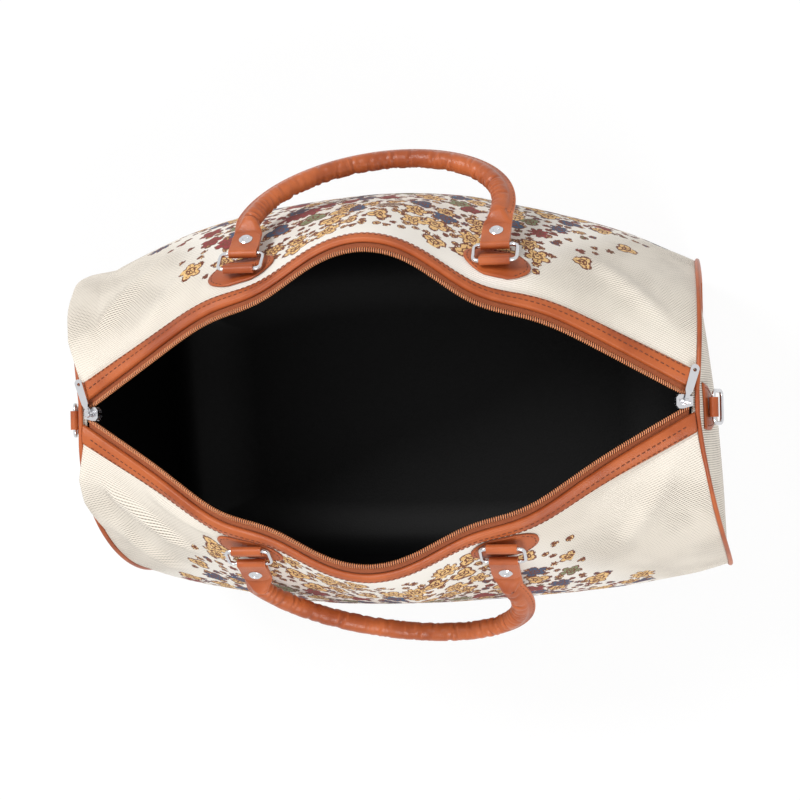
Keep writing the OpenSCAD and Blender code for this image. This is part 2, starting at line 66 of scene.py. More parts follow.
LOOP_IN = WIRE_R + SEAM_GAP
PATCH_TOP = LOOP_IN + LEATHER_T
COIL_R = COIL_D / 2
ZIP_HALF = TAPE_W + COIL_D + 1
ZIP_END = 1 - 2 * (PANEL_T + 1.3) / ZIP_LENGTH
STEP = 0.004
# Sizes that only the scene needs
TEETH_PITCH, CORE_R, TRIM_PUFF = 1.65, 1.15, 0.9
LINING_GAP = PANEL_T + 2.5
TAB_LIFT, END_TAB_H, END_TAB_TOP, END_TAB_HALF = 0.2, 28.0, 6.0, 16.0
CLOTH_U, CLOTH_V = 230, 390
UV_APART = 700
SIDES = (("front", -1), ("back", 1))
ENDS = (("left", -1), ("right", 1))


# Body surface
def unit(p):
    return p / np.linalg.norm(p, axis=-1, keepdims=True)


def mix(a, b, t):
    return a + (b - a) * t


def cubic(a, b, c, d, t):
    return a * (1 - t) ** 3 + 3 * b * t * (1 - t) ** 2 + 3 * c * t * t * (1 - t) + d * t ** 3


def rim_blend(u):
    """One at the middle of the rim, none at its ends, with a rounded peak."""
    top = math.hypot(1, RIM_ROUND)
    return (top - np.hypot(u, RIM_ROUND)) / (top - RIM_ROUND)


def belly_blend(u):
    """One at the middle of the body, none at its ends."""
    return 1 - np.minimum(1, np.abs(u)) ** BELLY_POWER


def hump(v):
    return 4 * v * (1 - v)


def half_length(v):
    """Half of the body's length, from the base at v = 0 to the zip at v = 1."""
    control = BODY_LENGTH - (BASE_LENGTH + ZIP_LENGTH) / 4
    return BASE_LENGTH / 2 * (1 - v) ** 2 + 2 * control * v * (1 - v) + ZIP_LENGTH / 2 * v * v


TAB_V = 1 - TAB_DROP / CLOTH_V
TAB_W = TAB_X / half_length(TAB_V)
APEX = 2 * APEX_SHIFT / ZIP_LENGTH


def lean(u):
    """Place along the wall with its peak shifted to one side."""
    return u - APEX * (1 - u * u)


def tab_at(end):
    """Place along the wall of a handle tab."""
    return end * TAB_W + APEX * (1 - TAB_W * TAB_W)


def rim_sag(side, u, v):
    """The back rim flops inwards beside its tabs."""
    if side < 0:
        return 0
    dip = 7 * np.exp(-((u + 0.47) / 0.18) ** 2) + 12 * np.exp(-((u - 0.40) / 0.2) ** 2)
    return dip * np.exp(-((1 - np.minimum(v, 1)) / 0.026) ** 2)


def tab_flat(w, v):
    """The wall is flatter under the tabs."""
    d = (np.abs(w) - TAB_W) * half_length(v) / FLAT_RUN
    e = (v - TAB_V) / FLAT_RISE
    return FLAT_DEPTH * d * np.exp((1 - d * d - e * e) / 2)


def wall(side, u, v):
    """Outer face of a side: u runs from end to end, v from base to rim."""
    u, v = np.broadcast_arrays(np.asarray(u, float), np.asarray(v, float))
    w = lean(u)
    g = belly_blend(w)
    base = mix(BASE_END_WIDTH, BASE_MID_WIDTH, g) / 2
    belly = mix(END_WIDTH, BELLY_WIDTH, g) / 2
    rim = mix(ZIP_HALF, OPENING_WIDTH / 2, rim_blend(w))
    control = (8 * belly - base - rim) / 6
    half = cubic(base, control, control, rim, v) + tab_flat(w, v) - rim_sag(side, u, v)
    y = side * half + BOW * (1 - 2 * w * w) * hump(v)
    top = mix(END_HEIGHT, RIM_HEIGHT, g)
    z = cubic(0 * top, top * mix(*LOW_CONTROL, g), top * mix(*HIGH_CONTROL, g), top, v)
    x = half_length(v) * u - np.where(u < 0, LEFT_SKEW, RIGHT_SKEW) * y * hump(v) * np.abs(u)
    x = x - np.where(u < 0, LEFT_REACH * (u * v) ** 2, 0)
    return np.stack([x, y, z], -1)


def wall_up(side, u, v):
    return unit(wall(side, u, v + STEP) - wall(side, u, v - STEP))


def wall_out(side, u, v):
    along = wall(side, u + STEP, v) - wall(side, u - STEP, v)
    return side * unit(np.cross(wall_up(side, u, v), along))


def off_wall(side, u, v, off):
    off = np.asarray(off, float)
    return wall(side, u, v) + off[..., None] * wall_out(side, u, v)


def ramp(x, start, finish):
    return np.clip((x - start) / (finish - start), 0, 1)


def below_rim(side, u, run):
    """The v that lies a length of cloth below the rim."""
    return 1 - run * 0.05 / np.linalg.norm(wall(side, u, 1.0) - wall(side, u, 0.95), axis=-1)


def end_wall(end, q, v, inset, back):
    """Face of an end: q runs from front to back, inset from the sides and moved back."""
    q, v = np.broadcast_arrays(np.asarray(q, float), np.asarray(v, float))
    e = np.full(v.shape, float(end))
    inset = np.broadcast_to(inset, v.shape)
    p = mix(off_wall(-1, e, v, -inset), off_wall(1, e, v, -inset), ((q + 1) / 2)[..., None])
    p[..., 0] += end * (END_BULGE * (1 - q * q) * hump(v) - back)
    p[..., 2] = np.maximum(p[..., 2], 0)
    return p


def tape_dir(side, u):
    """Direction of the zip tape, inwards and up."""
    rise = np.radians(TAPE_RISE) * belly_blend(u)
    return np.stack([0 * rise, -side * np.cos(rise), np.sin(rise)], -1)


def tape_root(side, u):
    return off_wall(side, u, 1.0, -PANEL_T * np.ones_like(u)) + 0.6 * wall_up(side, u, 1.0)


def coil_at(side, u):
    return tape_root(side, u) + TAPE_W * tape_dir(side, u)


# Smooth repeatable noise, as a sum of turned sine waves
def ripple(seed, *coords):
    rng = np.random.default_rng(seed)
    out = 0
    for k in range(7):
        w = rng.normal(size=len(coords))
        w = w / np.linalg.norm(w) * (0.6 + 0.35 * k)
        out = out + np.sin(sum(a * c for a, c in zip(w, coords)) + rng.uniform(0, 6.28)) / (1 + 0.5 * k)
    return out / 2.6


# Meshes
def make(name, verts, faces, material, body="bag", replaces=(), uv=None):
    data = bpy.data.meshes.new(name)
    data.from_pydata((np.asarray(verts, float) / 1000).tolist(), [], [list(map(int, f)) for f in faces])
    data.validate()
    data.polygons.foreach_set("use_smooth", np.ones(len(data.polygons), bool))
    if uv is not None:
        index = np.zeros(len(data.loops), int)
        data.loops.foreach_get("vertex_index", index)
        layer = data.uv_layers.new(name="UVMap")
        layer.data.foreach_set("uv", (np.asarray(uv, float)[index] / 100).ravel())
    obj = bpy.data.objects.new(name, data)
    bpy.context.scene.collection.objects.link(obj)
    data.materials.append(material)
    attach(obj, body)
    if replaces:
        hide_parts(*replaces)
    return obj


def slab_faces(rows, cols):
    i, j = np.meshgrid(np.arange(rows - 1), np.arange(cols - 1), indexing="ij")
    a = (i * cols + j).ravel()
    skin = np.stack([a, a + 1, a + cols + 1, a + cols], -1)
    size = rows * cols
    edge = np.concatenate([np.arange(cols), np.arange(2 * cols - 1, size, cols),
                           np.arange(size - 2, size - cols - 1, -1), np.arange(size - 2 * cols, 0, -cols)])
    nxt = np.roll(edge, -1)
    side = np.stack([nxt, edge, edge + size, nxt + size], -1)
    return np.concatenate([skin, skin[:, ::-1] + size, side])


def slab(name, first, second, material, flip=False, **extra):
    """A closed sheet between two grids; flip swaps them where the sheet faces the other way."""
    if flip:
        first, second = second, first
    rows, cols = first.shape[:2]
    verts = np.concatenate([first.reshape(-1, 3), second.reshape(-1, 3)])
    return make(name, verts, slab_faces(rows, cols), material, **extra)


def sweep_faces(n, m, closed):
    i, j = np.meshgrid(np.arange(n if closed else n - 1), np.arange(m), indexing="ij")
    i, j = i.ravel(), j.ravel()
    a, b, k = i * m, (i + 1) % n * m, (j + 1) % m
    faces = [list(f) for f in np.stack([a + j, a + k, b + k, b + j], -1)]
    if not closed:
        faces += [list(range(m - 1, -1, -1)), [(n - 1) * m + q for q in range(m)]]
    return faces


def sweep(name, rings, material, closed=False, **extra):
    n, m = rings.shape[:2]
    return make(name, rings.reshape(-1, 3), sweep_faces(n, m, closed), material, **extra)


def tube_rings(path, first, radius, sides):
    """Rings round an open path; first is a direction across it."""
    tangent = unit(np.gradient(path, axis=0))
    a = unit(first - (first * tangent).sum(-1, keepdims=True) * tangent)
    b = np.cross(tangent, a)
    t = np.arange(sides) * 2 * math.pi / sides
    r = np.broadcast_to(np.asarray(radius, float), (len(path),))[:, None, None]
    return path[:, None] + r * (np.cos(t)[None, :, None] * a[:, None] + np.sin(t)[None, :, None] * b[:, None])


def resample(path, pitch):
    """Fractional indices on a dense path, at an even pitch along it."""
    run = np.concatenate([[0], np.cumsum(np.linalg.norm(np.diff(path, axis=0), axis=1))])
    count = max(2, int(round(run[-1] / pitch)))
    return np.interp((np.arange(count) + 0.5) * run[-1] / count, run, np.arange(len(path)))


def at_index(values, index):
    low = np.clip(np.floor(index).astype(int), 0, len(values) - 2)
    return mix(values[low], values[low + 1], (index - low)[:, None])


def beads(centres, along, out, size, sides=6):
    """Small rounded bars: size is half length, half width, half height."""
    side_dir = unit(np.cross(out, along))
    out = unit(np.cross(along, side_dir))
    verts, faces = [], []
    stations = ((-1, 0.45), (-0.75, 0.9), (0, 1), (0.75, 0.9), (1, 0.45))
    t = np.arange(sides) * 2 * math.pi / sides
    ring = np.stack([np.cos(t) * size[1], np.sin(t) * size[2]], -1)
    for c, a, s, o in zip(centres, along, side_dir, out):
        start = len(verts)
        for x, k in stations:
            verts.extend(c + a * x * size[0] + k * (ring[:, :1] * s + ring[:, 1:] * o))
        faces += [[start + q for q in f] for f in sweep_faces(len(stations), sides, False)]
    return verts, faces


class Bunch:
    """Collects many small solids into one mesh."""

    def __init__(self):
        self.verts, self.faces = [], []

    def add(self, verts, faces):
        start = len(self.verts)
        self.verts.extend(verts)
        self.faces.extend([[start + q for q in f] for f in faces])

    def build(self, name, material, body="bag", **extra):
        return make(name, np.array(self.verts), self.faces, material, body, **extra)


# Materials
def new_material(name):
    m = bpy.data.materials.new(name)
    m.use_nodes = True
    return m, m.node_tree, m.node_tree.nodes["Principled BSDF"]


def node(tree, kind, **values):
    n = tree.nodes.new(kind)
    for key, value in values.items():
        if hasattr(n, key):
            setattr(n, key, value)
        else:
            n.inputs[key].default_value = value
    return n


def math_node(tree, operation, a, b=None, c=None):
    n = tree.nodes.new("ShaderNodeMath")
    n.operation = operation
    for k, x in enumerate((a, b, c)):
        if x is None:
            continue
        if isinstance(x, (int, float)):
            n.inputs[k].default_value = x
        else:
            tree.links.new(x, n.inputs[k])
    return n.outputs[0]


def mix_colour(tree, factor, a, b):
    n = tree.nodes.new("ShaderNodeMix")
    n.data_type = "RGBA"
    for key, x in ((0, factor), (6, a), (7, b)):
        if isinstance(x, tuple):
            n.inputs[key].default_value = (*x, 1)
        elif isinstance(x, (int, float)):
            n.inputs[key].default_value = x
        else:
            tree.links.new(x, n.inputs[key])
    return n.outputs[2]


def step_up(tree, value, low, high):
    n = node(tree, "ShaderNodeMapRange", interpolation_type="SMOOTHSTEP")
    tree.links.new(value, n.inputs[0])
    n.inputs[1].default_value, n.inputs[2].default_value = low, high
    return n.outputs[0]


def noise(tree, vector, scale, detail=2.0):
    n = node(tree, "ShaderNodeTexNoise", Scale=scale, Detail=detail)
    tree.links.new(vector, n.inputs["Vector"])
    return n.outputs[0]


def bump(tree, shader, height, strength, distance):
    n = node(tree, "ShaderNodeBump", Strength=strength, Distance=distance)
    tree.links.new(height, n.inputs["Height"])
    tree.links.new(n.outputs[0], shader.inputs["Normal"])


def vary_roughness(tree, shader, value, low, high):
    n = node(tree, "ShaderNodeMapRange")
    tree.links.new(value, n.inputs[0])
    n.inputs[3].default_value, n.inputs[4].default_value = low, high
    tree.links.new(n.outputs[0], shader.inputs["Roughness"])


def seen_rays(tree):
    """One for the rays that show the background: to the camera, in gloss and through glass."""
    rays = tree.nodes.new("ShaderNodeLightPath").outputs
    bent = math_node(tree, "MAXIMUM", rays["Is Glossy Ray"], rays["Is Transmission Ray"])
    return math_node(tree, "MAXIMUM", rays["Is Camera Ray"], bent)


def coordinates(tree):
    return tree.nodes.new("ShaderNodeTexCoord").outputs["Object"]


def leather_material(name, colour, dark, roughness, painted_fold_light=False):
    m, tree, shader = new_material(name)
    where = coordinates(tree)
    broad = noise(tree, where, 28, 3)
    fine = noise(tree, where, 900, 2)
    tint = mix_colour(tree, step_up(tree, broad, 0.3, 0.7), dark, colour)
    tint = mix_colour(tree, math_node(tree, "MULTIPLY", fine, 0.35), tint, dark)
    if painted_fold_light:
        # painted highlight on the folds' crests and painted shade in their hollows, from the mesh's pointiness
        bend = tree.nodes.new("ShaderNodeNewGeometry").outputs["Pointiness"]
        painted_crest_light = math_node(tree, "MULTIPLY", step_up(tree, bend, 0.51, 0.57), 0.55)
        painted_hollow_shade = math_node(tree, "SUBTRACT", 1.0, step_up(tree, bend, 0.44, 0.495))
        painted_hollow_shade = math_node(tree, "MULTIPLY", painted_hollow_shade, 0.75)
        tint = mix_colour(tree, painted_crest_light, tint, tuple(min(0.8, 1.35 * c + 0.03) for c in colour))
        tint = mix_colour(tree, painted_hollow_shade, tint, tuple(0.5 * c for c in dark))
    tree.links.new(tint, shader.inputs["Base Color"])
    cells = node(tree, "ShaderNodeTexVoronoi", Scale=750, feature="DISTANCE_TO_EDGE")
    tree.links.new(where, cells.inputs["Vector"])
    grain = math_node(tree, "ADD", math_node(tree, "MULTIPLY", cells.outputs[0], 1.4), fine)
    bump(tree, shader, grain, 0.35, 0.0004)
    vary_roughness(tree, shader, broad, roughness - 0.06, roughness + 0.1)
    shader.inputs["Specular IOR Level"].default_value = 0.36
    return m


def metal_material(name, colour, roughness):
    m, tree, shader = new_material(name)
    smear = noise(tree, coordinates(tree), 160, 3)
    tree.links.new(mix_colour(tree, smear, tuple(0.86 * c for c in colour), colour), shader.inputs["Base Color"])
    vary_roughness(tree, shader, smear, roughness * 0.7, roughness * 1.4)
    shader.inputs["Metallic"].default_value = 1
    return m


def cloth_material(name, colour, dark, scale, roughness=0.8, sheen=0.1):
    m, tree, shader = new_material(name)
    weave = noise(tree, coordinates(tree), scale, 2)
    tree.links.new(mix_colour(tree, step_up(tree, weave, 0.35, 0.65), dark, colour), shader.inputs["Base Color"])
    bump(tree, shader, weave, 0.4, 0.0004)
    shader.inputs["Roughness"].default_value = roughness
    shader.inputs["Sheen Weight"].default_value = sheen
    return m


def jacquard_material(name, motif, rib_pitch=1.65):
    """Ribbed cloth; with motif, woven rosettes that crowd the middle of the panel."""
    m, tree, shader = new_material(name)

    def do(operation, a, b=None):
        return math_node(tree, operation, a, b)

    def over(value, limit, soft=0.001):
        return step_up(tree, value, limit - soft, limit + soft)

    def join(*parts):
        n = tree.nodes.new("ShaderNodeCombineXYZ")
        for k, part in enumerate(parts):
            tree.links.new(part, n.inputs[k])
        return n.outputs[0]

    uv = node(tree, "ShaderNodeUVMap", uv_map="UVMap").outputs[0]
    split = tree.nodes.new("ShaderNodeSeparateXYZ")
    tree.links.new(uv, split.inputs[0])
    along = do("MULTIPLY", split.outputs[0], 100.0)
    across = do("MULTIPLY", split.outputs[1], 100.0)
    row = do("DIVIDE", across, rib_pitch)
    index = do("FLOOR", row)
    centre = do("ABSOLUTE", do("SUBTRACT", do("FRACT", row), 0.5))
    # a thin line between ribs, with a dark dot where each weft thread dives
    line = do("SUBTRACT", 1.0, step_up(tree, centre, 0.08, 0.28))
    weft = do("FRACT", do("ADD", do("DIVIDE", along, 2.3), do("MULTIPLY", index, 0.5)))
    dot = do("SUBTRACT", 1.0, step_up(tree, do("ABSOLUTE", do("SUBTRACT", weft, 0.5)), 0.16, 0.36))
    where = coordinates(tree)
    broad = noise(tree, where, 11, 3)
    wear = do("ADD", 0.5, do("MULTIPLY", step_up(tree, noise(tree, where, 26, 2), 0.35, 0.65), 0.5))
    ink = do("MULTIPLY", do("MULTIPLY", line, do("ADD", 0.55, do("MULTIPLY", dot, 0.45))), wear)
    if motif:
        ink = do("MULTIPLY", ink, do("ADD", 0.3, do("MULTIPLY", step_up(tree, across, 8, 55), 0.7)))
        # the ground of the design is a closer, whiter weave
        from_middle = do("ABSOLUTE", do("ADD", math_node(tree, "WRAP", along, 350.0, -350.0), 8.0))
        zone = step_up(tree, do("SUBTRACT", do("ADD", 90.0, do("MULTIPLY", across, 0.6)), from_middle), -25, 15)
        ink = do("MULTIPLY", ink, do("SUBTRACT", 1.0, do("MULTIPLY", zone, 0.6)))
    ground = mix_colour(tree, broad, (0.77, 0.70, 0.605), (0.83, 0.78, 0.70))
    fibre = noise(tree, where, 1400, 2)
    colour = mix_colour(tree, do("MULTIPLY", fibre, 0.25), ground, (0.74, 0.65, 0.52))
    if motif:
        colour = mix_colour(tree, do("MULTIPLY", zone, 0.85), colour, (0.88, 0.84, 0.775))
        # the design is woven, so its edges step from thread to thread
        step_x = do("MULTIPLY", do("FLOOR", do("DIVIDE", along, 0.9)), 0.9)
        step_y = do("MULTIPLY", do("FLOOR", do("DIVIDE", across, 1.1)), 1.1)
        weave = tree.nodes.new("ShaderNodeTexWhiteNoise")
        tree.links.new(join(step_x, step_y), weave.inputs[0])
        jitter = do("MULTIPLY", do("SUBTRACT", weave.outputs[0], 0.5), 0.5)
        fill = mix_colour(tree, weave.outputs[0], (0.86, 0.59, 0.27), (0.76, 0.45, 0.15))

        def rosettes(pitch, low, span, lines, petals):
            """Coverage, dark lines and chances of one scatter of rosettes."""
            cell = node(tree, "ShaderNodeTexVoronoi", voronoi_dimensions="2D", Scale=1 / pitch, Randomness=0.75)
            tree.links.new(join(step_x, step_y), cell.inputs["Vector"])
            spot = tree.nodes.new("ShaderNodeSeparateXYZ")
            tree.links.new(cell.outputs["Position"], spot.inputs[0])
            chance = tree.nodes.new("ShaderNodeSeparateColor")
            tree.links.new(cell.outputs["Color"], chance.inputs[0])
            one, two, three = chance.outputs[:3]
            px, py = spot.outputs[0], spot.outputs[1]
            dx, dy = do("SUBTRACT", step_x, px), do("SUBTRACT", step_y, py)
            r = do("SQRT", do("ADD", do("MULTIPLY", dx, dx), do("MULTIPLY", dy, dy)))
            turn = do("ADD", do("ARCTAN2", dy, dx), do("MULTIPLY", one, 6.2832))
            count = do("ADD", do("SUBTRACT", petals, over(three, 0.4)), do("MULTIPLY", over(three, 0.75), 2.5))
            wave = do("MULTIPLY", turn, count)
            size = do("ADD", low, do("MULTIPLY", two, span))
            lobe = do("ADD", 0.56, do("MULTIPLY", do("ABSOLUTE", do("COSINE", wave)), 0.44))
            petal = do("ADD", do("SUBTRACT", r, do("MULTIPLY", size, lobe)), jitter)
            # left out near the rim and towards the ends of the panel
            middle = do("ABSOLUTE", do("ADD", math_node(tree, "WRAP", px, 350.0, -350.0), 8.0))
            reach = do("ADD", 62.0, do("MULTIPLY", py, 0.6))
            reach = do("ADD", reach, do("MULTIPLY", do("FRACT", do("MULTIPLY", one, 5.7)), 55.0))
            missing = do("MAXIMUM", over(do("SUBTRACT", middle, reach), 0.0), do("SUBTRACT", 1.0, over(py, 28.0)))
            petal = do("ADD", petal, do("MULTIPLY", missing, 100.0))
            vein = do("SUBTRACT", do("ABSOLUTE", do("MULTIPLY", do("SINE", wave), r)), lines)
            vein = do("MAXIMUM", do("MAXIMUM", vein, do("SUBTRACT", r, do("MULTIPLY", size, 0.75))), petal)
            ring = do("SUBTRACT", do("ABSOLUTE", do("SUBTRACT", r, do("MULTIPLY", size, 0.36))), lines * 0.8)
            vein = do("MINIMUM", vein, do("MAXIMUM", ring, petal))
            edge = do("SUBTRACT", do("ABSOLUTE", petal), lines)
            covered = do("SUBTRACT", 1.0, step_up(tree, petal, -0.1, 0.1))
            dark = do("SUBTRACT", 1.0, step_up(tree, do("MINIMUM", vein, edge), -0.1, 0.1))
            deep = over(do("ADD", py, do("MULTIPLY", two, 36.0)), 100.0)
            pick = do("MULTIPLY", do("FRACT", do("ADD", do("MULTIPLY", two, 11.3), do("MULTIPLY", three, 5.1))), deep)
            tint = mix_colour(tree, over(pick, 0.3), fill, (0.03, 0.085, 0.17))
            tint = mix_colour(tree, over(pick, 0.58), tint, (0.28, 0.022, 0.03))
            tint = mix_colour(tree, over(pick, 0.82), tint, (0.22, 0.26, 0.13))
            return covered, dark, tint

        for covered, dark, tint in (rosettes(9.0, 2.3, 1.3, 0.55, 1.5), rosettes(21.0, 7.2, 3.4, 0.8, 2.5)):
            colour = mix_colour(tree, covered, colour, tint)
            colour = mix_colour(tree, dark, colour, (0.15, 0.032, 0.011))
            ink = do("MULTIPLY", ink, do("SUBTRACT", 1.0, do("MULTIPLY", covered, 0.45)))
    colour = mix_colour(tree, do("MULTIPLY", ink, 0.95), colour, (0.11, 0.08, 0.055))
    tree.links.new(colour, shader.inputs["Base Color"])
    rib = do("ADD", do("MULTIPLY", centre, 1.6), do("MULTIPLY", fibre, 0.35))
    bump(tree, shader, rib, 0.5, 0.0006)
    shader.inputs["Roughness"].default_value = 0.88
    shader.inputs["Sheen Weight"].default_value = 0.06
    return m


LEATHER = leather_material("tan_leather", (0.49, 0.121, 0.032), (0.30, 0.058, 0.013), 0.36)
# the grip gets painted highlights on its fold crests and painted shade in its fold hollows
GRIP = leather_material("grip_leather", (0.57, 0.145, 0.041), (0.31, 0.062, 0.015), 0.28, True)
THREAD = cloth_material("thread", (0.19, 0.045, 0.013), (0.10, 0.022, 0.007), 900)
TAPE = cloth_material("zip_tape", (0.34, 0.088, 0.026), (0.24, 0.056, 0.016), 1500)
COIL = cloth_material("zip_coil", (0.80, 0.33, 0.14), (0.66, 0.24, 0.095), 500, 0.3, 0.0)
# the zip's real core cord, coloured near black as painted shade that shows in the gaps between the coil's teeth
CORE_SHADE = cloth_material("zip_core_painted_shade", (0.10, 0.018, 0.007), (0.06, 0.010, 0.004), 500)
NICKEL = metal_material("bright_nickel", (0.68, 0.68, 0.70), 0.15)
LINING = cloth_material("black_lining", (0.0022, 0.0022, 0.0026), (0.0012, 0.0012, 0.0015), 700, 0.55, 0.0)
LINING.node_tree.nodes["Principled BSDF"].inputs["Specular IOR Level"].default_value = 0.22
BOARD = cloth_material("board", (0.03, 0.03, 0.03), (0.02, 0.02, 0.02), 300)
JACQUARD = jacquard_material("jacquard", True)
PLAIN = jacquard_material("plain_jacquard", False)


# Cloth walls, ends and lining
def wall_run(side, us, vs):
    """Distance along the cloth from the rim, on a grid."""
    grid = wall(side, us[:, None], vs[None, :])
    length = np.linalg.norm(np.diff(grid, axis=1), axis=-1)
    run = np.concatenate([np.zeros((len(us), 1)), np.cumsum(length, axis=1)], axis=1)
    return run[:, -1:] - run


def fold(u, v, start, finish, width, height):
    """A soft ridge along a line on the cloth, from one (u, v) to another."""
    a, b = np.array(start), np.array(finish)
    d = (b - a) * (CLOTH_U, CLOTH_V)
    du, dv = u - a[0], v - a[1]
    k = np.clip((du * CLOTH_U * d[0] + dv * CLOTH_V * d[1]) / (d @ d), 0, 1)
    away = np.hypot((du - k * (b[0] - a[0])) * CLOTH_U, (dv - k * (b[1] - a[1])) * CLOTH_V)
    return height * np.exp(-(away / width) ** 2) * np.sin(math.pi * np.clip(k * 0.9 + 0.05, 0, 1)) ** 0.5


def crease(side, u, v):
    """Soft folds in the cloth, none at its sewn edges or round the tabs."""
    edge = ramp(np.abs(u), 1, 0.9) * ramp(v, 0.985, 0.925) * ramp(v, 0, 0.1)
    tabs = 1 - np.exp(-(((np.abs(lean(u)) - TAB_W) / 0.15) ** 2 + ((v - TAB_V + 0.04) / 0.12) ** 2) ** 2)
    lumps = 0.5 + 1.7 * ripple(5 + side, 5 * u, 4 * v + 2 * u) + 0.7 * ripple(15 + side, 13 * u, 9 * v)
    for start, finish, width, height in FOLDS[side]:
        lumps = lumps + fold(u, v, start, finish, width, height)
    return edge * tabs * np.clip(lumps, -1.8, 7)


# each fold: start and finish on the cloth, half width and height
FOLDS = {
    -1: (((-0.96, 0.91), (-0.70, 0.83), 7, 8.0), ((-0.97, 0.80), (-0.76, 0.66), 10, 5.5),
         ((-0.76, 0.952), (-0.54, 0.962), 6, 9.0), ((0.90, 0.92), (0.70, 0.78), 10, 3.5),
         ((0.15, 0.9), (0.0, 0.72), 14, 3.0)),
    1: (((-0.95, 0.86), (-0.72, 0.74), 10, 5.5), ((-0.78, 0.95), (-0.60, 0.84), 9, 3.0),
        ((0.92, 0.88), (0.68, 0.80), 11, 3.5), ((-0.1, 0.93), (0.1, 0.75), 13, 2.5)),
}


def seam_roll(side, u, v):
    """How far the cloth rolls out over the end seam: along the wall's normal and outwards along X."""
    t = np.clip((1 - np.abs(u)) * half_length(v) / 15, 0, 1)
    if side > 0:
        full = np.where(u < 0, 1.0, 0.0) * ramp(v, 0.3, 0.5) * ramp(v, 0.975, 0.855)
    else:
        full = np.where(u < 0, 0.8, 0.25) * ramp(v, 0.74, 0.84) * ramp(v, 0.975, 0.895)
    full = full * (1 + 0.25 * ripple(41 + side, 14 * v, 0 * v))
    return full * 5.0 * np.sin(math.pi * t ** 0.42), full * 9.5 * np.sin(math.pi * t ** 0.5) * (1 - t)


def build_walls():
    # the grid closes up towards the end seams, where the cloth rolls over
    near = 1 - np.array([0, 0.0008, 0.0018, 0.003, 0.0045, 0.0065, 0.009,
                         0.012, 0.016, 0.021, 0.027, 0.034, 0.042])
    for name, side in SIDES:
        us = np.concatenate([-near, np.linspace(-0.95, 0.95, 249), near[::-1]])
        vs = np.concatenate([np.linspace(0, 0.4, 30)[:-1], np.linspace(0.4, 1, 111)])
        u, v = us[:, None] + 0 * vs, vs[None, :] + 0 * us[:, None]
        rise, reach = seam_roll(side, u, v)
        dent = crease(side, u, v) + rise
        outer, inner = off_wall(side, u, v, dent), off_wall(side, u, v, dent - PANEL_T)
        outer[..., 0] += np.sign(u) * reach
        inner[..., 0] += np.sign(u) * np.maximum(0, reach - 2.0)
        outer[..., 2] = np.maximum(outer[..., 2], 0)
        run = wall_run(side, us, vs)
        uv = np.stack([outer[..., 0] + UV_APART * side, run], -1).reshape(-1, 2)
        cloth = slab(name + "_cloth", outer, inner, JACQUARD, flip=side > 0, replaces=(name + "_panel",),
                     uv=np.tile(uv, (2, 1)))


def build_ends():
    inset = PANEL_T + SEAM_GAP
    for name, end in ENDS:
        q, v = np.meshgrid(np.linspace(-1, 1, 61), np.linspace(0, 1, 81), indexing="ij")
        dent = 0.5 * (1 - q * q) * hump(v) * (1 + ripple(31 + end, 5 * q, 5 * v))
        outer, inner = end_wall(end, q, v, inset, dent), end_wall(end, q, v, inset, PANEL_T + dent)
        uv = np.stack([outer[..., 2], outer[..., 1]], -1).reshape(-1, 2)
        cloth = slab(name + "_end_cloth", outer, inner, PLAIN, flip=end > 0, replaces=(name + "_end_panel",),
                     uv=np.tile(uv, (2, 1)))
        # piping round the seam
        vs = np.linspace(0.02, 1, 90)
        climb = wall(1, np.full(90, float(end)), vs)
        fall = wall(-1, np.full(90, float(end)), vs[::-1])
        ys = np.linspace(-BASE_END_WIDTH / 2 + 12, BASE_END_WIDTH / 2 - 12, 30)
        base = np.stack([np.full(30, wall(1, float(end), 0.0)[0]), ys, np.zeros(30)], -1)
        path = np.concatenate([base, climb, fall])
        path[:, 0] += end * (PIPING_R + SEAM_GAP)
        path[:, 2] = np.maximum(path[:, 2], PIPING_R + 0.1)
        t = np.arange(14) * 2 * math.pi / 14
        tangent = unit(np.roll(path, -1, 0) - np.roll(path, 1, 0))
        x_dir = np.array([1.0, 0, 0])
        b = unit(np.cross(tangent, x_dir))
        turn = np.cos(t)[None, :, None] * x_dir + np.sin(t)[None, :, None] * b[:, None]
        cord = sweep(name + "_piping_cord", path[:, None] + PIPING_R * turn, LEATHER, closed=True,
                     replaces=(name + "_piping",))


def build_lining():
    vs = np.concatenate([np.linspace(0.1, 0.9, 60), [0.925, 0.95]])

    def loops(depth):
        rows = []
        for v in vs:
            u_end = 1 - (depth + 1) / half_length(v)
            us = np.linspace(-u_end, u_end, 121)
            qs = np.linspace(-0.95, 0.95, 27)
            fade = math.sin(math.pi * min(1, (v - 0.1) / 0.8)) ** 0.5
            held = 1 - (us / u_end) ** 8
            back = 2.2 * fade * (1 + ripple(3, 9 * us, 6 * v + 3 * us)) * held
            front = 2.2 * fade * (1 + ripple(4, 9 * us, 6 * v - 3 * us)) * held
            tuck = 2.0 * fade * (1 + ripple(6, 4 * qs, 7 * v)) * (1 - qs ** 8)
            # between the ends the top edge climbs to the zip tape
            high = v + 0.7 * max(0, v - 0.9) * (1 - us ** 4)
            rows.append(np.concatenate([
                off_wall(1, us, high, -depth - back), end_wall(1, -qs, v, depth, depth + tuck),
                off_wall(-1, -us, high, -depth - front[::-1]), end_wall(-1, qs, v, depth, depth + tuck)]))
        floor = rows[0] * np.array([0.94, 0.86, 0])
        floor[:, 2] = PANEL_T + BOARD_T + 2 * SEAM_GAP + depth - LINING_GAP
        middle = [floor * np.array([k, k, 1]) for k in (0.05, 0.4, 0.75)]
        return np.array(middle + [floor] + rows)

    outer, inner = loops(LINING_GAP), loops(LINING_GAP + LINING_T)
    bag = sweep("lining_bag", np.concatenate([outer, inner[::-1]]), LINING, replaces=("lining",))


# Stitches, gathered per body
stitches = {"bag": Bunch(), "front_handle_body": Bunch(), "back_handle_body": Bunch()}


